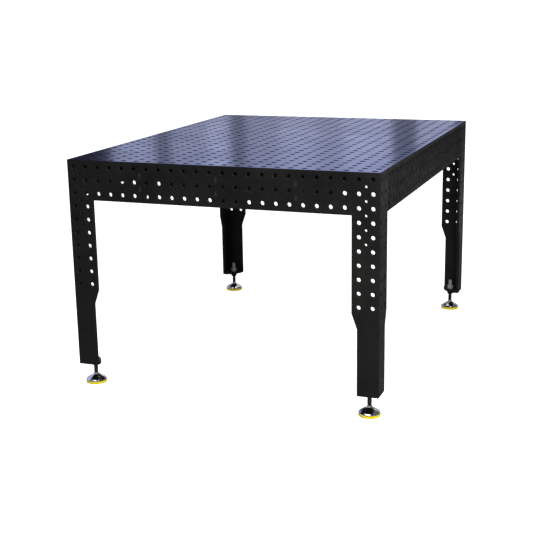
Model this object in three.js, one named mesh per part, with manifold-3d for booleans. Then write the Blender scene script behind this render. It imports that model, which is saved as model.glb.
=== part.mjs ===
// A perforated steel welding table on four screw feet. Millimetres, +Z up.
// The front faces -Y, and the origin is on the floor under the middle of the top.
//
// The box is a flat top with four side plates under its edges, stiffened by three ribs each way.
// An L-shaped leg stands in each corner, from the underside of the top to just above the floor.
// A swivel foot hangs from each leg: a ball stud screws through a nut welded under the foot plate,
// and a lock nut and spring washer above the plate hold it at its height.
import * as THREE from 'three';
import { mergeVertices } from 'three/addons/utils/BufferGeometryUtils.js';
import Module from 'manifold-3d';

const wasm = await Module();
wasm.setup();

// The table as a whole
const WIDTH = 1200;
const DEPTH = 1500;
const HEIGHT = 884;
const PLATE = 12; // thickness of the top, the side plates and the legs
const GAP = 0.3; // between two pieces that touch

// The hole system: a square grid that starts half a pitch from every outer face
const PITCH = 50;
const EDGE = PITCH / 2;
const HOLE_D = 16;
const HOLE_SIDES = 6;
const TOP_HOLE_SIDES = 8;
const TOP_HOLE_STEP = 250; // the top carries every fifth hole of its grid here
const TIE_HOLE_D = 10; // the small holes between the two columns on a leg

// The box under the top
const BOX_DEPTH = 150; // from the top's surface to the lower edge of the side plates
const SIDE_ROWS = 3;

// Legs
const LEG_WIDTH = 100;
const LEG_TOE_WIDTH = 80;
const LEG_END = 84; // height of a leg's lower end
const TAPER_TOP = HEIGHT - 497;
const TAPER_END = HEIGHT - 553;
const LEG_CORNER = 2; // chamfer along the leg's outer corner
const LEG_ROWS = 10;
const TIE_HOLES = 5;

// Ribs: plates on edge under the top, half-lapped where they cross
const RIB = 10;
const LONG_RIB_X = [-300, 0, 300];
const CROSS_RIB_Y = [-450, 0, 450];
const LONG_RIB_END_DEPTH = 140; // depths are below the top's surface
const LONG_RIB_DEPTH = 90;
const LONG_RIB_SLOPE = [28, 60]; // where its lower edge slopes, from each end
const CROSS_RIB_DEPTH = 147;
const CROSS_RIB_END_DEPTH = 100;
const CROSS_RIB_SLOPE = [340, 385]; // where its lower edge slopes, from the middle

// Feet, all heights above the floor
const FOOT_INSET = 45; // stud axis from a leg's two outer faces
const FOOT_PLATE_RADIUS = 84; // about the leg's outer corner
const STUD_RADIUS = 8; // M16
const STUD_TOP = 137;
const STUD_SHOULDER = 40.5; // where the thread starts above the ball's neck
const NECK_RADIUS = 4.5;
const BALL_RADIUS = 8;
const BALL_HEIGHT = 26; // the ball's centre, about which the base swivels
const BORE_RADIUS = STUD_RADIUS + 0.6; // a round hole that the stud runs through
const NUT_FLATS = 24;
const NUT_HEIGHT = 13;
const WASHER_RADIUS = 13.2;
const WASHER_HEIGHT = 2.8;
const PAD_RADIUS = 40;
const PAD_HEIGHT = 10;
const FOOT_SIDES = 16; // facets round the bases and pads
const BORE_SIDES = 12; // facets round the studs, bores, balls and cups
const FOOT_PLATE_FACETS = 10; // along its round edge

// The underside of the top, where the side plates, legs and ribs end
const UNDERSIDE = HEIGHT - PLATE - GAP;

const finish = (color, roughness, metalness) =>
  new THREE.MeshStandardMaterial({ color, roughness, metalness });
const blackSteel = () => finish(0x232422, 0.5, 0.6);
const topSteel = () => finish(0x5b6072, 0.3, 0.8);
const chrome = () => finish(0xd8dade, 0.1, 1);
const zinc = () => finish(0xb9bcc0, 0.3, 1);
const darkSteel = () => finish(0x3a3a38, 0.4, 0.9);
const cupPlastic = () => finish(0xd9d5c8, 0.5, 0);
const yellowRubber = () => finish(0xe8d31c, 0.7, 0);

const table = new THREE.Group();

function addMesh(parent, name, geometry, material) {
  const mesh = new THREE.Mesh(geometry, material);
  mesh.name = name;
  parent.add(mesh);
  return mesh;
}

// A closed mesh as a manifold solid, and back again
function toSolid(geometry) {
  const bare = geometry.clone();
  bare.deleteAttribute('normal');
  bare.deleteAttribute('uv');
  const merged = mergeVertices(bare, 1e-4);
  return new wasm.Manifold(new wasm.Mesh({
    numProp: 3,
    vertProperties: new Float32Array(merged.attributes.position.array),
    triVerts: new Uint32Array(merged.index.array),
  }));
}

function toGeometry(solid) {
  const mesh = solid.getMesh();
  const geometry = new THREE.BufferGeometry();
  geometry.setAttribute('position', new THREE.BufferAttribute(mesh.vertProperties, 3));
  geometry.setIndex(new THREE.BufferAttribute(mesh.triVerts, 1));
  return geometry;
}

// The corner radius of a regular polygon drawn around a circle
const aroundCircle = (radius, sides) => radius / Math.cos(Math.PI / sides);

// A polygon hole around a circle, as a path for a flat outline
function holePath(x, y, radius, sides) {
  const corner = aroundCircle(radius, sides);
  const path = new THREE.Path();
  for (let i = 0; i < sides; i++) {
    const turn = (2 * Math.PI * (i + 0.5)) / sides;
    const u = x + corner * Math.cos(turn);
    const v = y + corner * Math.sin(turn);
    if (i === 0) path.moveTo(u, v);
    else path.lineTo(u, v);
  }
  path.closePath();
  return path;
}

const outline = (points) => new THREE.Shape(points.map(([x, y]) => new THREE.Vector2(x, y)));

// A flat plate that lies in XY, with its lower face at z = 0
const flatPlate = (shape, thickness, curveSegments = 1) =>
  new THREE.ExtrudeGeometry(shape, { depth: thickness, bevelEnabled: false, curveSegments });

// A plate that stands on edge: its outline's Y is height, and its thickness straddles y = 0
function uprightPlate(shape, thickness) {
  const geometry = flatPlate(shape, thickness);
  geometry.rotateX(Math.PI / 2);
  geometry.translate(0, thickness / 2, 0);
  return geometry;
}

// A turned piece about Z from [radius, height] points
function turned(points, sides) {
  const geometry = new THREE.LatheGeometry(points.map(([r, z]) => new THREE.Vector2(r, z)), sides);
  geometry.rotateX(Math.PI / 2);
  return toGeometry(toSolid(geometry));
}

// Grid places along a line of the given length, centred, one every step
function gridPlaces(length, step) {
  const count = Math.floor(length / step);
  return Array.from({ length: count }, (_, i) => (i - (count - 1) / 2) * step);
}

function makeTop() {
  const shape = outline([
    [-WIDTH / 2, -DEPTH / 2], [WIDTH / 2, -DEPTH / 2], [WIDTH / 2, DEPTH / 2], [-WIDTH / 2, DEPTH / 2],
  ]);
  for (const x of gridPlaces(WIDTH, TOP_HOLE_STEP)) {
    for (const y of gridPlaces(DEPTH, TOP_HOLE_STEP)) {
      shape.holes.push(holePath(x, y, HOLE_D / 2, TOP_HOLE_SIDES));
    }
  }
  const mesh = addMesh(table, 'table_top', flatPlate(shape, PLATE), topSteel());
  mesh.position.z = HEIGHT - PLATE;
}

// One side plate between two legs, standing along X about the origin
function sidePlate(tableLength) {
  const length = tableLength - 2 * LEG_WIDTH;
  const half = length / 2 - GAP;
  const bottom = HEIGHT - BOX_DEPTH;
  const shape = outline([[-half, bottom], [half, bottom], [half, UNDERSIDE], [-half, UNDERSIDE]]);
  for (const x of gridPlaces(length, PITCH)) {
    for (let row = 0; row < SIDE_ROWS; row++) {
      shape.holes.push(holePath(x, HEIGHT - EDGE - row * PITCH, HOLE_D / 2, HOLE_SIDES));
    }
  }
  return uprightPlate(shape, PLATE);
}

function makeSidePlates() {
  const fromFace = PLATE / 2;
  const places = [
    ['front', WIDTH, 0, -DEPTH / 2 + fromFace, 0],
    ['back', WIDTH, 0, DEPTH / 2 - fromFace, 0],
    ['left', DEPTH, -WIDTH / 2 + fromFace, 0, Math.PI / 2],
    ['right', DEPTH, WIDTH / 2 - fromFace, 0, Math.PI / 2],
  ];
  for (const [side, length, x, y, turn] of places) {
    const mesh = addMesh(table, `side_plate_${side}`, sidePlate(length), blackSteel());
    mesh.position.set(x, y, 0);
    mesh.rotation.z = turn;
  }
}

const atDepth = (depth) => HEIGHT - depth;
const lapHeight = (UNDERSIDE + atDepth(LONG_RIB_DEPTH)) / 2; // where the two halves of a lap meet
const slotHalf = RIB / 2 + GAP;

// A long rib along Y: deep at both ends and shallow between, slotted from below at each cross rib
function longRib() {
  const half = DEPTH / 2 - PLATE - GAP;
  const ends = atDepth(LONG_RIB_END_DEPTH);
  const middle = atDepth(LONG_RIB_DEPTH);
  const [slopeStart, slopeEnd] = LONG_RIB_SLOPE.map((fromEnd) => half - fromEnd);
  const points = [[-half, UNDERSIDE], [-half, ends], [-slopeStart, ends], [-slopeEnd, middle]];
  for (const y of CROSS_RIB_Y) {
    points.push([y - slotHalf, middle], [y - slotHalf, lapHeight + GAP / 2]);
    points.push([y + slotHalf, lapHeight + GAP / 2], [y + slotHalf, middle]);
  }
  points.push([slopeEnd, middle], [slopeStart, ends], [half, ends], [half, UNDERSIDE]);
  return uprightPlate(outline(points), RIB);
}

// A cross rib along X: deep in the middle and shallow at its ends, slotted from above
function crossRib() {
  const half = WIDTH / 2 - PLATE - GAP;
  const ends = atDepth(CROSS_RIB_END_DEPTH);
  const middle = atDepth(CROSS_RIB_DEPTH);
  const points = [[half, UNDERSIDE]];
  for (const x of [...LONG_RIB_X].reverse()) {
    points.push([x + slotHalf, UNDERSIDE], [x + slotHalf, lapHeight - GAP / 2]);
    points.push([x - slotHalf, lapHeight - GAP / 2], [x - slotHalf, UNDERSIDE]);
  }
  const [deepHalf, slopeHalf] = CROSS_RIB_SLOPE;
  points.push([-half, UNDERSIDE], [-half, ends], [-slopeHalf, ends], [-deepHalf, middle]);
  points.push([deepHalf, middle], [slopeHalf, ends], [half, ends]);
  return uprightPlate(outline(points), RIB);
}

function makeRibs() {
  ['left', 'middle', 'right'].forEach((place, i) => {
    const mesh = addMesh(table, `long_rib_${place}`, longRib(), blackSteel());
    mesh.position.x = LONG_RIB_X[i];
    mesh.rotation.z = Math.PI / 2;
  });
  ['front', 'middle', 'back'].forEach((place, i) => {
    const mesh = addMesh(table, `cross_rib_${place}`, crossRib(), blackSteel());
    mesh.position.y = CROSS_RIB_Y[i];
  });
}

// A leg in its corner's own frame: outer corner on the Z axis, flanges along +X and +Y
function leg() {
  const profile = outline([
    [LEG_CORNER, 0], [LEG_WIDTH, 0], [LEG_WIDTH, PLATE], [PLATE, PLATE],
    [PLATE, LEG_WIDTH], [0, LEG_WIDTH], [0, LEG_CORNER],
  ]);
  const blank = flatPlate(profile, UNDERSIDE - LEG_END);
  blank.translate(0, 0, LEG_END);

  const cutters = [];
  const beyond = 5; // how far a cutter runs past the material
  const taper = uprightPlate(outline([
    [LEG_TOE_WIDTH, LEG_END - beyond], [LEG_WIDTH + beyond, LEG_END - beyond],
    [LEG_WIDTH + beyond, TAPER_TOP], [LEG_WIDTH, TAPER_TOP], [LEG_TOE_WIDTH, TAPER_END],
  ]), 2 * (PLATE + beyond));
  cutters.push(taper);
  const drill = (x, z, diameter) => {
    const corner = aroundCircle(diameter / 2, HOLE_SIDES);
    const bit = new THREE.CylinderGeometry(corner, corner, 2 * (PLATE + beyond), HOLE_SIDES);
    bit.translate(x, 0, z);
    cutters.push(bit);
  };
  for (let row = 0; row < LEG_ROWS; row++) {
    drill(EDGE, HEIGHT - EDGE - row * PITCH, HOLE_D);
    drill(EDGE + PITCH, HEIGHT - EDGE - row * PITCH, HOLE_D);
  }
  for (let i = 1; i <= TIE_HOLES; i++) drill(PITCH, HEIGHT - i * PITCH, TIE_HOLE_D);

  let solid = toSolid(blank);
  for (const cutter of cutters) {
    solid = solid.subtract(toSolid(cutter));
    const other = cutter.clone().rotateZ(Math.PI / 2); // the same cut in the other flange
    solid = solid.subtract(toSolid(other));
  }
  return toGeometry(solid);
}

// The foot plate fills the corner at the leg's lower end, with a round free edge
function footPlate() {
  const inset = PLATE + GAP;
  const cutCorner = 3; // clears the weld inside the leg's corner
  const start = Math.asin(inset / FOOT_PLATE_RADIUS);
  const shape = new THREE.Shape();
  shape.moveTo(inset + cutCorner, inset);
  shape.absarc(0, 0, FOOT_PLATE_RADIUS, start, Math.PI / 2 - start, false);
  shape.lineTo(inset, inset + cutCorner);
  shape.closePath();
  shape.holes.push(holePath(FOOT_INSET, FOOT_INSET, BORE_RADIUS, BORE_SIDES));
  return flatPlate(shape, PLATE, FOOT_PLATE_FACETS);
}

// A hexagon nut with a round bore, its lower face at z = 0
function nut() {
  const corner = aroundCircle(NUT_FLATS / 2, 6);
  const shape = outline(Array.from({ length: 6 }, (_, i) => {
    const turn = (Math.PI * i) / 3;
    return [corner * Math.cos(turn), corner * Math.sin(turn)];
  }));
  shape.holes.push(holePath(0, 0, BORE_RADIUS, BORE_SIDES));
  return flatPlate(shape, NUT_HEIGHT);
}

function washer() {
  const bore = aroundCircle(BORE_RADIUS, BORE_SIDES);
  return turned([
    [bore, 0], [WASHER_RADIUS, 0], [WASHER_RADIUS, WASHER_HEIGHT], [bore, WASHER_HEIGHT], [bore, 0],
  ], BORE_SIDES);
}

// The stud: a cup-ended neck that meets the ball, then the threaded length
function stud() {
  const cup = BALL_RADIUS + GAP;
  const onCup = (angle) => [cup * Math.sin(angle), BALL_HEIGHT + cup * Math.cos(angle)];
  const rim = Math.asin(NECK_RADIUS / cup);
  const lowChamfer = 1;
  const topChamfer = 1.5;
  return turned([
    [0, BALL_HEIGHT + cup], onCup(rim / 2), onCup(rim), [NECK_RADIUS, STUD_SHOULDER],
    [STUD_RADIUS - lowChamfer, STUD_SHOULDER], [STUD_RADIUS, STUD_SHOULDER + lowChamfer],
    [STUD_RADIUS, STUD_TOP - topChamfer], [STUD_RADIUS - topChamfer, STUD_TOP], [0, STUD_TOP],
  ], BORE_SIDES);
}

function ball() {
  const geometry = new THREE.SphereGeometry(BALL_RADIUS, BORE_SIDES, 8);
  geometry.rotateX(Math.PI / 2);
  geometry.translate(0, 0, BALL_HEIGHT);
  return toGeometry(toSolid(geometry));
}

// The cup that snaps over the ball from below: a ring between two spheres about the ball's centre
function ballCup() {
  const innerRadius = 8.7;
  const outerRadius = 11;
  const latitudes = [-10, -30, -48].map((degrees) => (degrees * Math.PI) / 180);
  const at = (radius, latitude) => [
    radius * Math.cos(latitude), BALL_HEIGHT + radius * Math.sin(latitude),
  ];
  const down = latitudes.map((latitude) => at(innerRadius, latitude));
  const up = [...latitudes].reverse().map((latitude) => at(outerRadius, latitude));
  return turned([...down, ...up, down[0]], BORE_SIDES);
}

// The pressed base: a dome that rises to a narrow collar round the stud's neck. The collar
// holds the ball from above, and a ring below it holds the cup.
function footBase() {
  const rim = PAD_HEIGHT + GAP;
  const outside = [
    [39.5, rim], [39.5, 13], [38, 14.5], [31, 20], [19, 27.5], [14, 30.7], [10.8, 34], [9.2, 38],
  ];
  const socket = [[7.8, 38], [6.9, 31.1], [8.7, 27], [11.8, 27], [11.8, 14]];
  const underside = [[14.2, 14], [15.5, 21.5], [22, 19], [36, 12.5], [36, rim]];
  return turned([...outside, ...socket, ...underside, outside[0]], FOOT_SIDES);
}

function footPad() {
  const chamfer = 1;
  return turned([
    [0, 0], [PAD_RADIUS - chamfer, 0], [PAD_RADIUS, chamfer], [PAD_RADIUS, PAD_HEIGHT],
    [0, PAD_HEIGHT],
  ], FOOT_SIDES);
}

function makeCorner(name, x, y, quarterTurns) {
  const corner = new THREE.Group();
  corner.position.set(x, y, 0);
  corner.rotation.z = (quarterTurns * Math.PI) / 2;
  table.add(corner);
  addMesh(corner, `leg_${name}`, leg(), blackSteel());
  addMesh(corner, `foot_plate_${name}`, footPlate(), blackSteel()).position.z = LEG_END;

  const foot = new THREE.Group();
  foot.position.set(FOOT_INSET, FOOT_INSET, 0);
  corner.add(foot);
  const washerFoot = LEG_END + PLATE + GAP;
  const lockNutFoot = washerFoot + WASHER_HEIGHT + GAP;
  addMesh(foot, `weld_nut_${name}`, nut(), blackSteel()).position.z = LEG_END - GAP - NUT_HEIGHT;
  addMesh(foot, `lock_washer_${name}`, washer(), zinc()).position.z = washerFoot;
  addMesh(foot, `lock_nut_${name}`, nut(), zinc()).position.z = lockNutFoot;
  addMesh(foot, `foot_stud_${name}`, stud(), darkSteel());
  addMesh(foot, `stud_ball_${name}`, ball(), darkSteel());
  addMesh(foot, `ball_cup_${name}`, ballCup(), cupPlastic());
  addMesh(foot, `foot_base_${name}`, footBase(), chrome());
  addMesh(foot, `foot_pad_${name}`, footPad(), yellowRubber());
}

makeTop();
makeSidePlates();
makeRibs();
makeCorner('front_left', -WIDTH / 2, -DEPTH / 2, 0);
makeCorner('front_right', WIDTH / 2, -DEPTH / 2, 1);
makeCorner('back_right', WIDTH / 2, DEPTH / 2, 2);
makeCorner('back_left', -WIDTH / 2, DEPTH / 2, 3);

export default table;
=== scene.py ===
import math

import bmesh
import bpy
from mathutils import Matrix, Quaternion, Vector


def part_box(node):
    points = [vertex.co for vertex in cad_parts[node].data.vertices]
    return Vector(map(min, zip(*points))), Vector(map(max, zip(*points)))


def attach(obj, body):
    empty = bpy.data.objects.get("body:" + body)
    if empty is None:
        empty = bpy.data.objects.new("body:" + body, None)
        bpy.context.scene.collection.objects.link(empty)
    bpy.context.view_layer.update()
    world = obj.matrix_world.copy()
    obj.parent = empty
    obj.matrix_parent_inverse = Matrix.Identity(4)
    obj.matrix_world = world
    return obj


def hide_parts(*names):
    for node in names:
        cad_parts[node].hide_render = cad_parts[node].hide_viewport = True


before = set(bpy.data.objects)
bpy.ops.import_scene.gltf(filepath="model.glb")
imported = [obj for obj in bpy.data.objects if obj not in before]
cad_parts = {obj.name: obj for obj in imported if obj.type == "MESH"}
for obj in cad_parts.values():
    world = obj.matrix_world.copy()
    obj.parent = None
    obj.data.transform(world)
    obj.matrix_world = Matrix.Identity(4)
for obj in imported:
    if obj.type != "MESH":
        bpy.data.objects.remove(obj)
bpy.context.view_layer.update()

MM = 0.001
CORNERS = ("front_left", "front_right", "back_right", "back_left")

# The table's own sizes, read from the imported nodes
TOP_LOW, TOP_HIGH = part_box("table_top")
HEIGHT = TOP_HIGH.z
HALF_WIDTH = TOP_HIGH.x
HALF_DEPTH = TOP_HIGH.y
PLATE = TOP_HIGH.z - TOP_LOW.z
BOX_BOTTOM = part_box("side_plate_front")[0].z
LEG_LOW, LEG_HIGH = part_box("leg_front_left")
LEG_WIDTH = LEG_HIGH.x - LEG_LOW.x
LEG_END = LEG_LOW.z
JOINT = 0.02 * MM  # left between two welded pieces so that their faces don't coincide

# The hole system: a square grid that starts half a pitch from every outer face
PITCH = 50 * MM
EDGE = PITCH / 2
HOLE = 8 * MM  # radius
TIE_HOLE = 5 * MM
HOLE_SIDES = 24
TOP_HOLE_SIDES = 20
SIDE_ROWS = 3
CHAMFER = 0.8 * MM
TOP_CHAMFER = 2.6 * MM  # on the rims of the top's holes
SEAM = 0.12 * MM  # the fine groove left where two plates are welded and ground flush

# Legs
LEG_TOE = 80 * MM
TAPER_TOP = HEIGHT - 497 * MM
TAPER_END = HEIGHT - 553 * MM
LEG_CORNER = 1.6 * MM  # radius along the outer corner, where the weld was ground round
LEG_ROWS = 10
TIE_HOLES = 5

# Feet. Turned pieces are drawn in millimetres, as (radius, height above the floor).
FOOT_INSET = 45 * MM
FOOT_PLATE_RADIUS = 84 * MM
FOOT_PLATE_BORE = 8.6 * MM  # radius
FOOT_SIDES = 72
NUT_SIDES = 48
SMALL_SIDES = 32
NUT_FLATS = 24
NUT_BORE = 8.15
BALL_RADIUS = 8
BALL_Z = 26  # the swivel's centre
PAD_HEIGHT = 9.4
THREAD_LENGTH = 96.5
THREAD_PITCH = 2
THREAD_CREST = 8
THREAD_ROOT = 7.2
THREAD_SIDES = 24

# The studs are painted dark below the first height, as painted shade under the foot plates, and bright
# above the second
PAINTED_SHADE_BELOW = 78 * MM
BARE_STEEL_ABOVE = 96 * MM


# ---------------------------------------------------------------- mesh helpers

def new_piece(name, verts, faces, materials, merge=0):
    """A mesh object with its faces pointing out. merge joins points closer than it."""
    mesh = bpy.data.meshes.new(name)
    mesh.from_pydata([tuple(v) for v in verts], [], faces)
    for material in materials:
        mesh.materials.append(material)
    obj = bpy.data.objects.new(name, mesh)
    bpy.context.scene.collection.objects.link(obj)
    bm = bmesh.new()
    bm.from_mesh(mesh)
    if merge:
        bmesh.ops.remove_doubles(bm, verts=bm.verts, dist=merge)
        bmesh.ops.dissolve_degenerate(bm, edges=bm.edges, dist=merge)
    bmesh.ops.recalc_face_normals(bm, faces=bm.faces)
    bm.to_mesh(mesh)
    bm.free()
    return obj


def apply_modifiers(obj):
    depsgraph = bpy.context.evaluated_depsgraph_get()
    made = bpy.data.meshes.new_from_object(obj.evaluated_get(depsgraph))
    obj.modifiers.clear()
    obj.data = made


def bevel(obj, width, weighted=False, segments=1, angle=50):
    """Breaks the sharp edges, with the piece's second material on the new faces."""
    modifier = obj.modifiers.new("bevel", "BEVEL")
    modifier.width = width
    modifier.segments = segments
    modifier.material = 1
    modifier.limit_method = "WEIGHT" if weighted else "ANGLE"
    modifier.angle_limit = math.radians(angle)
    modifier.use_clamp_overlap = False
    apply_modifiers(obj)


def cut(obj, cutter):
    """Cuts the cutter away. The cut faces keep the cutter's material numbers."""
    modifier = obj.modifiers.new("cut", "BOOLEAN")
    modifier.operation = "DIFFERENCE"
    modifier.solver = "EXACT"
    modifier.object = cutter
    modifier.material_mode = "INDEX"
    apply_modifiers(obj)
    bpy.data.objects.remove(cutter)


def done(obj, body, slot, replaced=(), smooth_angle=35):
    """Smooth shading up to an angle, then the piece's body and CAD nodes. slot is not used."""
    obj.data.shade_smooth()
    obj.data.set_sharp_from_angle(angle=math.radians(smooth_angle))
    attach(obj, body)
    if replaced:
        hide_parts(*replaced)


def loft(rings, closed=False):
    """Faces between rings of equally many points. closed joins the last ring to the first."""
    verts = [point for ring in rings for point in ring]
    count = len(rings[0])
    faces = []
    for i in range(len(rings) if closed else len(rings) - 1):
        a = i * count
        b = ((i + 1) % len(rings)) * count
        for j in range(count):
            k = (j + 1) % count
            faces.append((a + j, a + k, b + k, b + j))
    if not closed:
        faces.append(tuple(range(count)))
        faces.append(tuple(range(len(verts) - count, len(verts))))
    return verts, faces


def joined(*parts):
    """Several (verts, faces) as one."""
    verts, faces = [], []
    for part_verts, part_faces in parts:
        start = len(verts)
        verts += part_verts
        faces += [tuple(start + i for i in face) for face in part_faces]
    return verts, faces


def circle(radius, z, sides):
    turns = [2 * math.pi * k / sides for k in range(sides)]
    return [Vector((radius * math.cos(t), radius * math.sin(t), z)) for t in turns]


def turned(profile, sides, closed=False):
    """A piece turned about Z from (radius, height) points in millimetres."""
    return loft([circle(r * MM, z * MM, sides) for r, z in profile], closed)


def arc(centre, radius, start, end, steps):
    """Points on a circle, angles in degrees."""
    points = []
    for k in range(steps + 1):
        angle = math.radians(start + (end - start) * k / steps)
        x = centre[0] + radius * math.cos(angle)
        y = centre[1] + radius * math.sin(angle)
        points.append((x, y))
    return points


def bezier(p0, p1, p2, p3, steps):
    points = []
    for k in range(steps + 1):
        t = k / steps
        weights = ((1 - t) ** 3, 3 * t * (1 - t) ** 2, 3 * t * t * (1 - t), t ** 3)
        ends = (p0, p1, p2, p3)
        points.append(tuple(sum(w * p[axis] for w, p in zip(weights, ends)) for axis in (0, 1)))
    return points


# ---------------------------------------------------------------- materials

class Finish:
    """A material with a Principled shader, and a short way to add nodes to it."""

    def __init__(self, name, color, metallic, roughness, specular=0.5):
        self.material = bpy.data.materials.new(name)
        self.material.use_nodes = True
        self.tree = self.material.node_tree
        self.shader = self.tree.nodes["Principled BSDF"]
        self.shader.inputs["Base Color"].default_value = (*color, 1)
        self.shader.inputs["Metallic"].default_value = metallic
        self.shader.inputs["Roughness"].default_value = roughness
        self.shader.inputs["Specular IOR Level"].default_value = specular
        self.coords = self.tree.nodes.new("ShaderNodeTexCoord").outputs["Object"]

    def add(self, kind, inputs, **settings):
        made = self.tree.nodes.new(kind)
        for key, value in settings.items():
            setattr(made, key, value)
        for key, value in inputs.items():
            if isinstance(value, bpy.types.NodeSocket):
                self.tree.links.new(value, made.inputs[key])
            else:
                made.inputs[key].default_value = value
        return made

    def math(self, operation, *values):
        return self.add("ShaderNodeMath", dict(enumerate(values)), operation=operation).outputs[0]

    def noise(self, scale, detail=4, rough=0.55, stretch=(1, 1, 1)):
        vector = self.add("ShaderNodeMapping", {"Vector": self.coords, "Scale": stretch})
        made = self.add("ShaderNodeTexNoise", {
            "Vector": vector.outputs[0], "Scale": scale, "Detail": detail, "Roughness": rough,
        })
        return made.outputs["Fac"]

    def spread(self, value, low, high, start=0.35, end=0.65):
        """Maps the middle of a noise to the range low to high."""
        return self.add("ShaderNodeMapRange", {
            "Value": value, "From Min": start, "From Max": end, "To Min": low, "To Max": high,
        }).outputs["Result"]

    def blend(self, factor, first, second):
        """Colour between first and second, where either may be a colour or a socket."""
        made = self.add("ShaderNodeMix", {0: factor}, data_type="RGBA")
        for index, value in ((6, first), (7, second)):
            if isinstance(value, bpy.types.NodeSocket):
                self.tree.links.new(value, made.inputs[index])
            else:
                made.inputs[index].default_value = (*value, 1)
        return made.outputs[2]

    def use(self, name, socket):
        self.tree.links.new(socket, self.shader.inputs[name])

    def bump(self, height, strength, distance):
        made = self.add("ShaderNodeBump", {
            "Height": height, "Strength": strength, "Distance": distance,
        })
        self.use("Normal", made.outputs["Normal"])


def black_steel_finish(name="black_steel", plug_axis=None, plug_spacing=0, gloss=0.28):
    """Blackened plate: near-black, satin, with faint cloudy patches and a fine grain.

    With plug_axis, lighter ovals show where the ribs' plug welds were ground flush.
    """
    plug_half_width = 5 * MM
    plug_half_height = 11 * MM
    finish = Finish(name, (0.012, 0.012, 0.011), 0.0, 0.42, gloss)
    cloud = finish.spread(finish.noise(5, 6, 0.62), 0, 1)
    color = finish.blend(cloud, (0.0070, 0.0071, 0.0067), (0.0145, 0.0145, 0.0128))
    if plug_axis:
        axes = finish.add("ShaderNodeSeparateXYZ", {0: finish.coords}).outputs
        along = finish.math("PINGPONG", axes[plug_axis], plug_spacing / 2)
        below = finish.math("SUBTRACT", axes["Z"], HEIGHT - PITCH)
        height = finish.math("PINGPONG", below, PITCH / 2)
        between_rows = finish.math("COMPARE", below, -PITCH / 2, 0.8 * PITCH)
        across = finish.math("DIVIDE", along, plug_half_width)
        upward = finish.math("DIVIDE", height, plug_half_height)
        distance = finish.math(
            "SQRT", finish.math("ADD", finish.math("POWER", across, 2), finish.math("POWER", upward, 2)))
        ragged = finish.math("ADD", distance, finish.spread(finish.noise(160), -0.5, 0.5))
        oval = finish.math("MULTIPLY", finish.spread(ragged, 1, 0, 0.8, 1.15), between_rows)
        color = finish.blend(oval, color, (0.027, 0.027, 0.0255))
    finish.use("Base Color", color)
    finish.use("Roughness", finish.spread(finish.noise(38, 5, 0.6), 0.34, 0.5))
    finish.bump(finish.noise(900, 3, 0.6), 0.12, 0.0004)
    return finish.material


def top_steel_finish():
    """The ground and nitrided top: dark grey, tinted bluish as a painted reflection of bluish
    surroundings, glossy, with faint grinding lines.
    """
    finish = Finish("top_steel", (0.06, 0.066, 0.095), 1.0, 0.16, 0.5)
    # painted reflection: the bluish specular and base colour tints stand in for the bluish surroundings
    # that the top mirrors
    finish.shader.inputs["Specular Tint"].default_value = (0.62, 0.67, 1, 1)
    cloud = finish.spread(finish.noise(3, 6, 0.6), 0, 1)
    finish.use("Base Color", finish.blend(cloud, (0.070, 0.076, 0.11), (0.090, 0.098, 0.135)))
    lines = finish.noise(30, 4, 0.7, stretch=(40, 1, 1))
    smudge = finish.noise(7, 5, 0.6)
    both = finish.math("ADD", lines, smudge)
    finish.use("Roughness", finish.spread(both, 0.13, 0.22, 0.8, 1.2))
    finish.bump(lines, 0.04, 0.0002)
    return finish.material


def edge_finish(name, dark, bright, metallic=0.4, roughness=0.36, specular=0.4):
    """Machined chamfers, unevenly blackened."""
    finish = Finish(name, dark, metallic, roughness, specular)
    worn = finish.spread(finish.noise(60, 5, 0.65), 0, 1)
    finish.use("Base Color", finish.blend(worn, dark, bright))
    return finish.material


def weld_finish():
    """Weld metal: dark grey with heat tints, rippled by its mesh."""
    finish = Finish("weld_metal", (0.06, 0.058, 0.055), 0.8, 0.42)
    tint = finish.spread(finish.noise(90, 3, 0.5), 0, 1)
    finish.use("Base Color", finish.blend(tint, (0.045, 0.042, 0.050), (0.105, 0.090, 0.070)))
    finish.bump(finish.noise(700, 3, 0.6), 0.15, 0.0003)
    return finish.material


def zinc_finish():
    finish = Finish("zinc_plate", (0.62, 0.63, 0.64), 0.6, 0.4)
    patch = finish.spread(finish.noise(220, 3, 0.5), 0, 1)
    finish.use("Base Color", finish.blend(patch, (0.52, 0.53, 0.55), (0.74, 0.74, 0.72)))
    finish.use("Roughness", finish.spread(finish.noise(300, 4, 0.6), 0.34, 0.5))
    return finish.material


def stud_finish():
    """Steel thread: bright above the foot plates, and painted dark below them as painted shade."""
    finish = Finish("stud_steel", (0.16, 0.155, 0.15), 1.0, 0.3)
    patch = finish.spread(finish.noise(150, 4, 0.6), 0, 1)
    height = finish.add("ShaderNodeSeparateXYZ", {0: finish.coords}).outputs["Z"]
    above = finish.spread(height, 0, 1, PAINTED_SHADE_BELOW, BARE_STEEL_ABOVE)
    # painted shade: below the foot plates the thread is darkened as if shaded by them and mirroring the
    # dark underside
    painted_shade = finish.blend(patch, (0.10, 0.092, 0.083), (0.24, 0.225, 0.205))
    bare_steel = finish.blend(patch, (0.55, 0.54, 0.52), (0.72, 0.71, 0.69))
    finish.use("Base Color", finish.blend(above, painted_shade, bare_steel))
    finish.use("Metallic", finish.spread(above, 1, 0.6, 0, 1))
    finish.use("Roughness", finish.spread(finish.noise(400, 4, 0.6), 0.3, 0.5))
    return finish.material


def chrome_finish():
    """Polished chrome with the faint haze of a plated pressing."""
    finish = Finish("chrome_plate", (0.80, 0.81, 0.83), 1.0, 0.07)
    haze = finish.noise(60, 4, 0.6)
    shade = finish.spread(haze, 0, 1)
    finish.use("Base Color", finish.blend(shade, (0.74, 0.75, 0.77), (0.85, 0.86, 0.88)))
    finish.use("Roughness", finish.spread(haze, 0.045, 0.11))
    return finish.material


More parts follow.
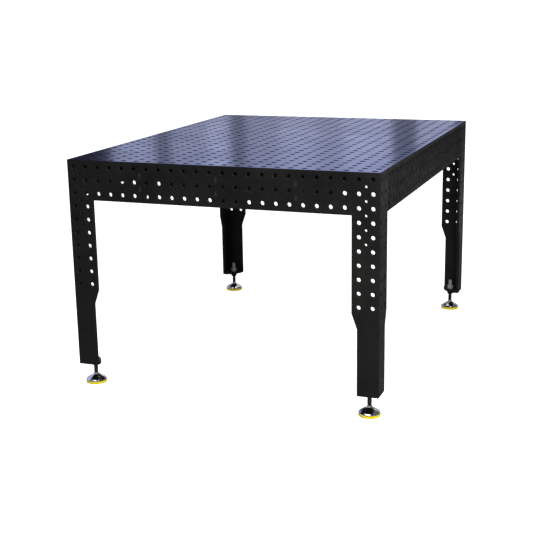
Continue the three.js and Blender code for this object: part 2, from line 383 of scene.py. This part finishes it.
def rubber_finish():
    finish = Finish("yellow_rubber", (0.95, 0.78, 0.012), 0.0, 0.6, 0.35)
    dirt = finish.spread(finish.noise(70, 5, 0.65), 0, 1, 0.4, 0.75)
    finish.use("Base Color", finish.blend(dirt, (0.97, 0.80, 0.012), (0.84, 0.64, 0.02)))
    finish.shader.inputs["Emission Color"].default_value = (1, 0.80, 0.012, 1)
    finish.shader.inputs["Emission Strength"].default_value = 0.15  # painted light: a faint glow that brightens the pad, though it is no lamp
    finish.bump(finish.noise(1200, 2, 0.5), 0.2, 0.0003)
    return finish.material


def cup_finish():
    finish = Finish("cup_plastic", (0.70, 0.67, 0.58), 0.0, 0.45)
    patch = finish.spread(finish.noise(90, 3, 0.5), 0, 1)
    finish.use("Base Color", finish.blend(patch, (0.66, 0.63, 0.54), (0.74, 0.71, 0.62)))
    finish.bump(finish.noise(900, 2, 0.5), 0.1, 0.0002)
    return finish.material


LONG_RIBS = [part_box(f"long_rib_{place}") for place in ("left", "middle", "right")]
CROSS_RIBS = [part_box(f"cross_rib_{place}") for place in ("front", "middle", "back")]
LONG_SPACING = LONG_RIBS[1][0].x - LONG_RIBS[0][0].x
CROSS_SPACING = CROSS_RIBS[1][0].y - CROSS_RIBS[0][0].y

BLACK = black_steel_finish()
FRONT_BLACK = black_steel_finish("black_steel_front", "X", LONG_SPACING)
# painted shade: the side plates' copy of the blackened steel reflects less, so the left and right sides
# render darker
SIDE_BLACK_SHADED = black_steel_finish("black_steel_side_shaded", "Y", CROSS_SPACING, gloss=0.07)
TOP = top_steel_finish()
MACHINED = edge_finish("machined_edge", (0.018, 0.018, 0.018), (0.046, 0.046, 0.044))
# The top's hole rims: blackened like the top, and darker and duller still as painted shade for the dark
# surroundings they face
RIM_BLACK_AND_SHADE = edge_finish(
    "rim_black_and_shade", (0.004, 0.005, 0.026), (0.009, 0.011, 0.055), metallic=0, roughness=0.6, specular=0.1)
WELD = weld_finish()
ZINC = zinc_finish()
STUD = stud_finish()
CHROME = chrome_finish()
RUBBER = rubber_finish()
CUP = cup_finish()


# ---------------------------------------------------------------- perforated plates

def places(length):
    """Hole places along a length, centred on zero."""
    count = round(length / PITCH)
    return [(i - (count - 1) / 2) * PITCH for i in range(count)]


def cell_lines(holes, low, high):
    """Cell borders: halfway between neighbouring holes, and the plate's own ends."""
    middle = [(a + b) / 2 for a, b in zip(holes, holes[1:])]
    return [low, *middle, high]


def perforated_plate(name, u_lines, v_lines, u_holes, v_holes, sides, chamfer, edge_weight, materials):
    """A plate in UV, from w = 0 down to minus PLATE, with one round hole in each cell.

    Each cell is a ring of quads between its hole and its border, and neighbours share points.
    edge_weight(a, b) says how much of the chamfer an outer edge gets.
    """
    verts, faces, shared = [], [], {}

    def vertex(point, w):
        key = (round(point[0] / MM, 3), round(point[1] / MM, 3), w)
        if key not in shared:
            shared[key] = len(verts)
            verts.append((*point, w))
        return shared[key]

    quarter = sides // 4
    rim = set()
    for i, hole_u in enumerate(u_holes):
        for j, hole_v in enumerate(v_holes):
            u0, u1, v0, v1 = u_lines[i], u_lines[i + 1], v_lines[j], v_lines[j + 1]
            corners = ((u0, v0), (u1, v0), (u1, v1), (u0, v1))
            outside = (j == 0, i == len(u_holes) - 1, j == len(v_holes) - 1, i == 0)
            border, hole = [], []
            for k in range(sides):
                side, step = divmod(k, quarter)
                (ua, va), (ub, vb) = corners[side], corners[(side + 1) % 4]
                border.append((ua + (ub - ua) * step / quarter, va + (vb - va) * step / quarter))
                turn = math.radians(-135 + 360 * k / sides)
                hole.append((hole_u + HOLE * math.cos(turn), hole_v + HOLE * math.sin(turn)))
            high_border, low_border = ([vertex(p, w) for p in border] for w in (0, -PLATE))
            high_hole, low_hole = ([vertex(p, w) for p in hole] for w in (0, -PLATE))
            rim.update(high_hole, low_hole)
            for k in range(sides):
                n = (k + 1) % sides
                faces.append((high_border[k], high_border[n], high_hole[n], high_hole[k]))
                faces.append((low_border[n], low_border[k], low_hole[k], low_hole[n]))
                faces.append((high_hole[k], high_hole[n], low_hole[n], low_hole[k]))
                if outside[k // quarter]:
                    faces.append((high_border[n], high_border[k], low_border[k], low_border[n]))

    obj = new_piece(name, verts, faces, materials)
    weigh_edges(obj.data, rim, edge_weight)
    bevel(obj, chamfer, weighted=True)
    return obj


def weigh_edges(mesh, rim, edge_weight):
    """Full chamfer on the hole rims, and what edge_weight says on the other sharp edges."""
    bm = bmesh.new()
    bm.from_mesh(mesh)
    weights = bm.edges.layers.float.new("bevel_weight_edge")
    for edge in bm.edges:
        if edge.calc_face_angle(0) > 1:
            a, b = edge.verts
            edge[weights] = 1 if a.index in rim else edge_weight(a.co, b.co)
    bm.to_mesh(mesh)
    bm.free()


def make_top():
    u_holes = places(2 * HALF_WIDTH)
    v_holes = places(2 * HALF_DEPTH)

    def edge_weight(a, b):
        return SEAM / TOP_CHAMFER if max(a.z, b.z) < -PLATE / 2 else CHAMFER / TOP_CHAMFER

    obj = perforated_plate(
        "top_plate",
        cell_lines(u_holes, -HALF_WIDTH, HALF_WIDTH), cell_lines(v_holes, -HALF_DEPTH, HALF_DEPTH),
        u_holes, v_holes, TOP_HOLE_SIDES, TOP_CHAMFER, edge_weight, (TOP, RIM_BLACK_AND_SHADE, BLACK),
    )
    for polygon in obj.data.polygons:  # its edges and underside are black like the sides
        if polygon.material_index == 0 and polygon.normal.z < 0.5:
            polygon.material_index = 2
    obj.data.transform(Matrix.Translation((0, 0, HEIGHT)))
    done(obj, "frame", "top_steel", ["table_top"])


def make_side_plate(side, quarter_turns):
    """The plate under one edge of the top, built lying down and then stood up on its side."""
    low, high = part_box(f"side_plate_{side}")
    facing_y = side in ("front", "back")
    half = (HALF_WIDTH if facing_y else HALF_DEPTH) - LEG_WIDTH - JOINT
    distance = HALF_DEPTH if facing_y else HALF_WIDTH
    u_holes = places(2 * half)
    v_holes = [HEIGHT - EDGE - row * PITCH for row in reversed(range(SIDE_ROWS))]

    def edge_weight(a, b):
        return 1 if max(a.y, b.y) < low.z + MM else SEAM / CHAMFER

    obj = perforated_plate(
        f"side_wall_{side}",
        cell_lines(u_holes, -half, half), cell_lines(v_holes, low.z, TOP_LOW.z - JOINT),
        u_holes, v_holes, HOLE_SIDES, CHAMFER, edge_weight,
        (FRONT_BLACK if facing_y else SIDE_BLACK_SHADED, MACHINED),
    )
    upright = Matrix.Rotation(math.radians(90), 4, "X")
    outward = Matrix.Translation((0, -distance, 0))
    turn = Matrix.Rotation(math.radians(90 * quarter_turns), 4, "Z")
    obj.data.transform(turn @ outward @ upright)
    done(obj, "frame", "black_steel", [f"side_plate_{side}"])


# ---------------------------------------------------------------- ribs

def make_rib(node):
    """A rib: the CAD plate with its flat faces joined up and its edges broken."""
    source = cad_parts[node].data
    verts = [v.co.copy() for v in source.vertices]
    faces = [tuple(p.vertices) for p in source.polygons]
    obj = new_piece(node.replace("rib", "rib_plate"), verts, faces, (BLACK, MACHINED), merge=1e-5)
    bm = bmesh.new()
    bm.from_mesh(obj.data)
    bmesh.ops.dissolve_limit(bm, angle_limit=math.radians(1), verts=bm.verts, edges=bm.edges)
    bm.to_mesh(obj.data)
    bm.free()
    bevel(obj, 0.5 * MM)
    done(obj, "frame", "black_steel", [node])


# ---------------------------------------------------------------- legs

def leg_outline(width, z):
    """The L at one height, its outer corner on the Z axis and flanges along +X and +Y."""
    points = [(width, 0), (width, PLATE), (PLATE, PLATE), (PLATE, width), (0, width)]
    points += arc((LEG_CORNER, LEG_CORNER), LEG_CORNER, 180, 270, 5)
    return [Vector((x, y, z)) for x, y in points]


def hole_cutter(x, z, radius):
    """A cutter along Y through a flange, flared at both faces so that it chamfers them."""
    flare = 1 * MM
    stations = (
        (-flare, radius + CHAMFER + flare), (CHAMFER, radius),
        (PLATE - CHAMFER, radius), (PLATE + flare, radius + CHAMFER + flare),
    )
    rings = []
    for y, r in stations:
        rings.append([Vector((x + p.x, y, z + p.y)) for p in circle(r, 0, HOLE_SIDES)])
    return loft(rings)


def leg_cutters():
    """All the holes of both flanges as one cutting mesh."""
    spots = []
    for row in range(LEG_ROWS):
        for column in (0, 1):
            spots.append((EDGE + column * PITCH, HEIGHT - EDGE - row * PITCH, HOLE))
    for k in range(1, TIE_HOLES + 1):
        spots.append((PITCH, HEIGHT - k * PITCH, TIE_HOLE))
    cutters = []
    for spot in spots:
        verts, faces = hole_cutter(*spot)
        cutters.append((verts, faces))
        cutters.append(([Vector((v.y, v.x, v.z)) for v in verts], faces))
    obj = new_piece("cutters", *joined(*cutters), (BLACK, MACHINED))
    bands = [1] * HOLE_SIDES + [0] * HOLE_SIDES + [1] * HOLE_SIDES + [0, 0]
    for polygon in obj.data.polygons:
        polygon.material_index = bands[polygon.index % len(bands)]
    return obj


def leg_mesh():
    levels = (
        (LEG_TOE, LEG_END), (LEG_TOE, TAPER_END),
        (LEG_WIDTH, TAPER_TOP), (LEG_WIDTH, TOP_LOW.z - JOINT),
    )
    rings = [leg_outline(width, z) for width, z in levels]
    obj = new_piece("leg_blank", *loft(rings), (BLACK, MACHINED))
    bevel(obj, 0.7 * MM, angle=60)
    cut(obj, leg_cutters())
    return obj


# ---------------------------------------------------------------- feet

def foot_plate():
    """It fills the corner at a leg's lower end, with a round free edge and the stud's bore."""
    inset = PLATE + JOINT
    cut_corner = 3 * MM
    start = math.degrees(math.asin(inset / FOOT_PLATE_RADIUS))
    points = [(inset + cut_corner, inset)]
    points += arc((0, 0), FOOT_PLATE_RADIUS, start, 90 - start, 24)
    points += [(inset, inset + cut_corner)]
    rings = [[Vector((x, y, z)) for x, y in points] for z in (LEG_END, LEG_END + PLATE)]
    obj = new_piece("foot_plate_blank", *loft(rings), (BLACK, MACHINED))
    bevel(obj, 0.8 * MM, segments=2)
    bore = []
    for z in (LEG_END - MM, LEG_END + PLATE + MM):
        ring = circle(FOOT_PLATE_BORE, z, SMALL_SIDES)
        bore.append([p + Vector((FOOT_INSET, FOOT_INSET, 0)) for p in ring])
    cut(obj, new_piece("bore", *loft(bore), (BLACK, MACHINED)))
    return obj


def hexagon_radius(turn):
    """From a nut's axis to its side, in millimetres, in the direction of an angle."""
    from_flat = turn % (math.pi / 3) - math.pi / 6
    return NUT_FLATS / 2 / math.cos(from_flat)


def hex_nut(low, high):
    """A hexagon nut with both faces chamfered at 30 degrees and a countersunk bore."""
    flat_circle = 0.47 * NUT_FLATS  # radius of the flat ring on each face
    slope = math.tan(math.radians(30))

    def hexagon(z, sign):
        ring = []
        for k in range(NUT_SIDES):
            turn = 2 * math.pi * k / NUT_SIDES
            r = hexagon_radius(turn)
            height = z - sign * (r - flat_circle) * slope
            ring.append(Vector((r * math.cos(turn), r * math.sin(turn), height)) * MM)
        return ring

    def flat(radius, z):
        return circle(radius * MM, z * MM, NUT_SIDES)

    rings = [
        flat(NUT_BORE, low + 1), flat(NUT_BORE + 1, low), flat(flat_circle, low), hexagon(low, -1),
        hexagon(high, 1), flat(flat_circle, high), flat(NUT_BORE + 1, high), flat(NUT_BORE, high - 1),
    ]
    return loft(rings, closed=True)


def spring_washer(low, high):
    """A split ring of square wire whose ends stand a little apart in height."""
    inner, outer, rise, steps = 8.5, 13.0, 0.25, 48
    rings = []
    for k in range(steps + 1):
        turn = math.radians(6 + 348 * k / steps)
        lift = rise * (2 * k / steps - 1)
        section = (
            (inner, low + rise), (outer, low + rise), (outer, high - rise), (inner, high - rise))
        rings.append([
            Vector((r * math.cos(turn), r * math.sin(turn), z + lift)) * MM for r, z in section])
    return loft(rings)


def thread(low, high):
    """The skin of a helical thread that runs out into its root circle at both ends."""
    rows_per_turn = 4  # root, crest, crest, root
    turns = math.ceil((high - low) / THREAD_PITCH) + 2
    verts, faces = [], []
    rows = rows_per_turn * turns
    for i in range(rows + rows_per_turn):
        for j in range(THREAD_SIDES):
            z = low + THREAD_PITCH * ((i - rows_per_turn) / rows_per_turn + j / THREAD_SIDES)
            z = min(max(z, low), high)
            crest = THREAD_CREST if i % rows_per_turn in (1, 2) else THREAD_ROOT
            radius = min(crest, THREAD_ROOT + min(z - low, high - z))
            turn = 2 * math.pi * j / THREAD_SIDES
            verts.append(Vector((radius * math.cos(turn), radius * math.sin(turn), z)) * MM)

    def at(i, j):
        if j == THREAD_SIDES:
            return (i + rows_per_turn) * THREAD_SIDES
        return i * THREAD_SIDES + j

    for i in range(rows - 1):
        for j in range(THREAD_SIDES):
            faces.append((at(i, j), at(i, j + 1), at(i + 1, j + 1), at(i + 1, j)))
    return verts, faces


def open_turned(profile, sides):
    """A turned skin with its last end closed and its first end open."""
    verts, faces = turned(profile, sides)
    return verts, faces[:-2] + faces[-1:]


def stud(shoulder, end):
    """The foot's stud: a threaded length with a socket in its top, and a neck above the ball."""
    ball_top = BALL_Z + BALL_RADIUS
    neck = open_turned((
        (THREAD_ROOT, shoulder), (5, shoulder - 0.2), (4.4, shoulder - 0.7), (4.3, ball_top - 1.2),
        (3, ball_top - 0.5), (0.4, ball_top + 0.05),
    ), THREAD_SIDES)
    socket = open_turned((
        (THREAD_ROOT, end), (4.4, end), (4, end - 0.4), (4, end - 6), (0.4, end - 7.5),
    ), THREAD_SIDES)
    return joined(thread(shoulder, end), neck, socket)


def ball():
    profile = arc((0, BALL_Z), BALL_RADIUS, -88, 88, 20)
    return turned(profile, SMALL_SIDES)


def ball_cup():
    """The ring that snaps over the ball, between two spheres about its centre."""
    inner = arc((0, BALL_Z), 8.4, -8, -50, 8)
    outer = arc((0, BALL_Z), 11.2, -50, -8, 8)
    return turned(inner + outer, 48, closed=True)


def base():
    """The pressed and polished base: a dome that rises to a narrow collar over the ball."""
    low = PAD_HEIGHT + 0.3
    rim = [(36.4, low), (39, low), (39.5, low + 0.6), *arc((38.3, 13), 1.2, 0, 48, 4)]
    dome = bezier((38.6, 14.2), (33.5, 19), (26, 23.2), (19, 27.3), 14)
    collar = bezier((19, 27.3), (14, 30.3), (10.2, 33.2), (9.2, 37.4), 8)
    lip = [(9, 37.9), (8.1, 38), (7.8, 37.6), (6.9, 31.1)]
    socket = [(8.7, 27), (11.8, 27), (11.8, 14), (14.2, 14)]
    inside = bezier((15.2, 22), (21, 20.5), (31, 16.6), (36, 12.5), 8)
    return turned([*rim, *dome, *collar[1:], *lip, *socket, *inside], FOOT_SIDES, closed=True)


def pad():
    """The rubber pad under the base, with ring-shaped treads."""
    profile = [(0.5, 0)]
    for groove in (8, 15, 22, 29):
        profile += [(groove, 0), (groove + 0.6, 1.6), (groove + 2.4, 1.6), (groove + 3, 0)]
    top = PAD_HEIGHT + 0.15
    profile += [(38.8, 0), (39.6, 0.4), (40, 1.2), (40, top - 1.1), (39.7, top - 0.3), (39, top)]
    return turned([*profile, (0.5, top)], FOOT_SIDES)


# ---------------------------------------------------------------- welds

def bead(start, end, side_a, side_b, leg=4 * MM, step=1.3 * MM):
    """A rippled fillet weld from start to end, in the corner between two faces.

    side_a and side_b are directions along the two faces, away from the corner. Neighbouring
    rings differ in size for the ripple, and the ends are drawn in.
    """
    length = (end - start).length
    count = max(6, round(length / step))
    bulge = (side_a + side_b) * 0.62
    rings = []
    for k in range(count + 1):
        share = k / count
        ripple = 1 + (0.09 if k % 2 else -0.09)
        taper = min(1, 0.35 + 8 * min(share, 1 - share))
        size = leg * ripple * taper
        centre = start.lerp(end, share)
        rings.append([
            centre, centre + side_a * size, centre + (side_a + bulge * 0.35) * size * 0.82,
            centre + bulge * size, centre + (side_b + bulge * 0.35) * size * 0.82,
            centre + side_b * size,
        ])
    return loft(rings)


def stitches(start, end, side_a, side_b, length=40 * MM, spacing=150 * MM):
    """Short beads evenly spaced along a corner."""
    run = end - start
    count = max(1, int(run.length // spacing))
    made = []
    for k in range(count):
        middle = start.lerp(end, (k + 0.5) / count)
        half = run.normalized() * length / 2
        made.append(bead(middle - half, middle + half, side_a, side_b))
    return made


DOWN = Vector((0, 0, -1))


def make_rib_welds():
    """Stitch welds along both sides of every rib, under the top."""
    under = TOP_LOW.z - JOINT
    beads = []
    for ribs, along, across in ((LONG_RIBS, 1, 0), (CROSS_RIBS, 0, 1)):
        crossing = CROSS_RIBS if along == 1 else LONG_RIBS
        for low, high in ribs:
            stops = [low[along], *((c[0][along] + c[1][along]) / 2 for c in crossing), high[along]]
            for sign, face in ((-1, low[across]), (1, high[across])):
                outward = Vector((0, 0, 0))
                outward[across] = sign
                for a, b in zip(stops, stops[1:]):
                    start = Vector((face, a, under)) if along == 1 else Vector((a, face, under))
                    end = Vector((face, b, under)) if along == 1 else Vector((b, face, under))
                    beads += stitches(start, end, outward, DOWN)
    obj = new_piece("rib_welds", *joined(*beads), (WELD,))
    done(obj, "frame", "black_steel", smooth_angle=60)


def corner_beads():
    """The welds at one corner, in the corner's own frame: leg to side plates and to foot plate."""
    x_way, y_way, up = Vector((1, 0, 0)), Vector((0, 1, 0)), Vector((0, 0, 1))
    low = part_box("side_plate_front")[0].z + 6 * MM
    high = TOP_LOW.z - 6 * MM
    beads = []
    for a, b in ((x_way, y_way), (y_way, x_way)):
        inside = b * PLATE
        seam = a * LEG_WIDTH + inside
        beads.append(bead(seam + up * low, seam + up * high, a * 0.7, b * 0.35))
        beads.append(bead(seam + up * low, seam + up * high, a * -0.7, b * 0.35))
        level = inside + up * (LEG_END + PLATE)
        start = level + a * (PLATE + 8 * MM)
        end = level + a * (LEG_TOE - 8 * MM)
        beads.append(bead(start, end, b, up))
    return beads


def nut_weld_ring():
    """The bead round the welded nut, against the foot plate."""
    rings = []
    count = 96
    for k in range(count):
        turn = 2 * math.pi * k / count
        flat = (hexagon_radius(turn) - 0.3) * MM
        size = (3.0 + (0.25 if k % 2 else -0.25)) * MM
        out = Vector((math.cos(turn), math.sin(turn), 0))
        corner = out * flat + Vector((FOOT_INSET, FOOT_INSET, LEG_END + 0.2 * MM))
        rings.append([
            corner, corner + out * size, corner + out * size * 0.7 + DOWN * size * 0.45,
            corner + out * size * 0.45 + DOWN * size * 0.7, corner + DOWN * size,
        ])
    return loft(rings, closed=True)


# ---------------------------------------------------------------- the four corners

def corner_matrix(index):
    """From a corner's own frame, flanges along +X and +Y, to its place on the table."""
    x = HALF_WIDTH * (-1, 1, 1, -1)[index]
    y = HALF_DEPTH * (-1, -1, 1, 1)[index]
    return Matrix.Translation((x, y, 0)) @ Matrix.Rotation(math.radians(90 * index), 4, "Z")


def make_corners():
    """Each corner piece is made once, in the corner's own frame, and copied to all four."""
    at_foot = Matrix.Translation((FOOT_INSET, FOOT_INSET, 0))
    nut_low, nut_high = (corner.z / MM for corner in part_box("lock_nut_front_left"))
    weld_nut_low, weld_nut_high = (corner.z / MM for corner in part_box("weld_nut_front_left"))
    washer_low, washer_high = (corner.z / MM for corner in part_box("lock_washer_front_left"))
    stud_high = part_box("foot_stud_front_left")[1].z / MM
    shoulder = stud_high - THREAD_LENGTH

    def on_foot(shape, materials, merge=0):
        obj = new_piece("foot_blank", *shape, materials, merge=merge)
        obj.data.transform(at_foot)
        return obj

    welds = joined(*corner_beads(), nut_weld_ring())
    # piece, name, body, slot, CAD node that it replaces
    pieces = (
        (leg_mesh(), "leg_angle", "frame", "black_steel", "leg"),
        (foot_plate(), "foot_gusset", "frame", "black_steel", "foot_plate"),
        (new_piece("welds", *welds, (WELD,)), "corner_welds", "frame", "black_steel", None),
        (on_foot(hex_nut(weld_nut_low, weld_nut_high), (BLACK, MACHINED)),
         "welded_nut", "frame", "black_steel", "weld_nut"),
        (on_foot(spring_washer(washer_low, washer_high), (ZINC,)),
         "spring_washer", "frame", "zinc", "lock_washer"),
        (on_foot(hex_nut(nut_low, nut_high), (ZINC,)), "hex_lock_nut", "nut", "zinc", "lock_nut"),
        (on_foot(stud(shoulder, stud_high), (STUD,), merge=2e-6),
         "threaded_stud", "stud", "stud_steel", "foot_stud"),
        (on_foot(ball(), (STUD,)), "stud_ball_end", "ball", "stud_steel", "stud_ball"),
        (on_foot(ball_cup(), (CUP,)), "snap_cup", "cup", "cup_plastic", "ball_cup"),
        (on_foot(base(), (CHROME,)), "flared_base", "base", "chrome", "foot_base"),
        (on_foot(pad(), (RUBBER,)), "rubber_pad", "base", "yellow_rubber", "foot_pad"),
    )
    for made, name, body, slot, node in pieces:
        for index, corner in enumerate(CORNERS):
            obj = bpy.data.objects.new(f"{name}_{corner}", made.data.copy())
            obj.data.name = obj.name
            obj.data.transform(corner_matrix(index))
            bpy.context.scene.collection.objects.link(obj)
            replaced = [f"{node}_{corner}"] if node else []
            done(obj, body if body == "frame" else f"{body}_{corner}", slot, replaced)
        bpy.data.objects.remove(made)


# ---------------------------------------------------------------- studio and camera

def area_light(name, place, aim, width, height, radiance, in_gloss=True):
    """A soft panel, which the camera doesn't see. in_gloss shows it in reflections."""
    light = bpy.data.lights.new(name, "AREA")
    light.shape = "RECTANGLE"
    light.size = width
    light.size_y = height
    light.energy = radiance * math.pi * width * height
    obj = bpy.data.objects.new(name, light)
    obj.location = place
    obj.rotation_euler = (Vector(aim) - Vector(place)).to_track_quat("-Z", "Y").to_euler()
    obj.visible_camera = False
    obj.visible_glossy = in_gloss
    bpy.context.scene.collection.objects.link(obj)


def stage_plane(name, z, size):
    verts = [(-size, -size, z), (size, -size, z), (size, size, z), (-size, size, z)]
    mesh = bpy.data.meshes.new(name)
    mesh.from_pydata(verts, [], [(0, 1, 2, 3)])
    obj = bpy.data.objects.new(name, mesh)
    bpy.context.scene.collection.objects.link(obj)
    return obj


def make_floors():
    """A white floor that only the camera sees, and a grey one that the table sees."""
    seen = stage_plane("floor", 0, 150)
    white = Finish("floor_white", (0.9, 0.9, 0.9), 0.0, 1.0, 0.0)
    white.shader.inputs["Emission Color"].default_value = (1, 1, 1, 1)
    white.shader.inputs["Emission Strength"].default_value = 1
    seen.data.materials.append(white.material)
    seen.visible_diffuse = False
    seen.visible_glossy = False
    seen.visible_shadow = False
    bounce = stage_plane("floor_bounce", -1 * MM, 12)
    grey = Finish("floor_grey", (0.26, 0.26, 0.26), 0.0, 1.0, 0.0)
    bounce.data.materials.append(grey.material)
    bounce.visible_camera = False


def make_world():
    """Soft studio surroundings: white to the camera.

    In reflections they are grey: brighter overhead and just right of the middle, dark to the
    right and to the left, and bluish farthest to the left.
    """
    world = bpy.data.worlds.new("studio")
    bpy.context.scene.world = world
    world.use_nodes = True
    tree = world.node_tree
    background = tree.nodes["Background"]
    direction = tree.nodes.new("ShaderNodeTexCoord").outputs["Generated"]
    axes = tree.nodes.new("ShaderNodeSeparateXYZ")
    tree.links.new(direction, axes.inputs[0])

    def ramp(axis, *stops):
        made = tree.nodes.new("ShaderNodeValToRGB")
        half = tree.nodes.new("ShaderNodeMath")
        half.operation = "MULTIPLY_ADD"
        half.inputs[1].default_value = 0.5
        half.inputs[2].default_value = 0.5
        tree.links.new(axes.outputs[axis], half.inputs[0])
        tree.links.new(half.outputs[0], made.inputs[0])
        elements = made.color_ramp.elements
        while len(elements) < len(stops):
            elements.new(0.5)
        for element, (place, color) in zip(elements, stops):
            element.position = 0.5 + 0.5 * place
            element.color = (*color, 1)
        return made.outputs[0]

    def mix(kind, factor, first, second):
        made = tree.nodes.new("ShaderNodeMix")
        made.data_type = "RGBA"
        made.blend_type = kind
        for index, value in ((0, factor), (6, first), (7, second)):
            if isinstance(value, bpy.types.NodeSocket):
                tree.links.new(value, made.inputs[index])
            else:
                made.inputs[index].default_value = value
        return made.outputs[2]

    upward = ramp("Z", (0, (0.24, 0.24, 0.245)), (1, (0.52, 0.52, 0.53)))
    sideways = ramp(
        "X", (-0.95, (1.5, 1.6, 2.3)), (-0.75, (1.2, 1.3, 1.8)), (-0.6, (0.12, 0.12, 0.12)),
        (-0.49, (0.12, 0.12, 0.12)), (-0.475, (1, 1, 1)), (0, (1, 1, 1)), (0.15, (1.6, 1.55, 1.45)),
        (0.25, (1.6, 1.55, 1.45)), (0.34, (0.25, 0.25, 0.25)))
    surroundings = mix("MULTIPLY", 1, upward, sideways)
    path = tree.nodes.new("ShaderNodeLightPath")
    seen = mix("MIX", path.outputs["Is Camera Ray"], surroundings, (1, 1, 1, 1))
    tree.links.new(seen, background.inputs["Color"])


# Upright strips of light far behind the table, which the top mirrors as pale bands.
# Each has its left and right edge, in degrees from the line of sight, and its radiance.
STRIPS = (
    (-8.1, -5.8, 0.66), (-5.0, -3.0, 0.53), (-3.0, -1.8, 0.87), (-1.0, 0.8, 0.51),
    (0.8, 2.8, 0.76), (2.8, 4.2, 0.56), (4.2, 6.8, 0.87), (8.1, 10.1, 0.75),
)
STRIP_CENTRE = Vector((1.52, -4.19, 3.4))
STRIP_DISTANCE = 13
STRIP_HEIGHT = 3.4
SIGHT_TURN = 21.19  # the line of sight, in degrees to the left of +Y


def make_lights():
    for index, (left, right, radiance) in enumerate(STRIPS):
        turn = math.radians(SIGHT_TURN - (left + right) / 2)
        outward = Vector((-math.sin(turn), math.cos(turn), 0))
        width = STRIP_DISTANCE * math.radians(right - left)
        place = STRIP_CENTRE + outward * STRIP_DISTANCE
        area_light(f"strip_{index}", place, STRIP_CENTRE, width, STRIP_HEIGHT, radiance)
    # One soft light on the front, and pale cards for the glossy pieces to mirror
    area_light("front_softbox", (1.9, -2.6, 1.8), (0.4, -0.75, 0.4), 1.2, 1.2, 15, in_gloss=False)
    area_light("front_card", (1.5, -3.4, 2.2), (0, 0, 0.4), 1.6, 1.2, 0.9)
    area_light("side_card_back", (9.5, 8, 4.2), (0, 0, 0.9), 9, 4.5, 0.5)
    area_light("side_card_front", (10.5, -8, 4.2), (0, 0, 0.9), 8, 4, 0.4)
    area_light("low_card", (1.15, 2.4, 0.2), (0.6, 0.5, 0.5), 0.9, 0.4, 0.22)
    area_light("ceiling_strip", (0.1, -1.6, 3.2), (0.1, -0.9, 0), 2.4, 0.5, 2.5)
    area_light("overhead", (0, 0, 4.5), (0, 0, 0), 3, 3, 0.8)


def make_camera():
    place = Vector((1.5203, -4.1864, 1.4777))
    aim = Vector((-0.0894, -0.0347, 0.3357))
    roll = math.radians(-1.06)
    camera = bpy.data.objects.new("camera", bpy.data.cameras.new("camera"))
    camera.data.lens = 72.66
    camera.data.sensor_width = 36
    camera.location = place
    camera.rotation_mode = "QUATERNION"
    turn = (aim - place).to_track_quat("-Z", "Y")
    camera.rotation_quaternion = turn @ Quaternion((0, 0, 1), roll)
    bpy.context.scene.collection.objects.link(camera)
    bpy.context.scene.camera = camera


make_camera()
bpy.context.scene.view_settings.view_transform = "Standard"
make_world()
make_floors()
make_lights()

make_top()
for quarter_turns, side in enumerate(("front", "right", "back", "left")):
    make_side_plate(side, quarter_turns)
for place in ("left", "middle", "right"):
    make_rib(f"long_rib_{place}")
for place in ("front", "middle", "back"):
    make_rib(f"cross_rib_{place}")
make_rib_welds()
make_corners()
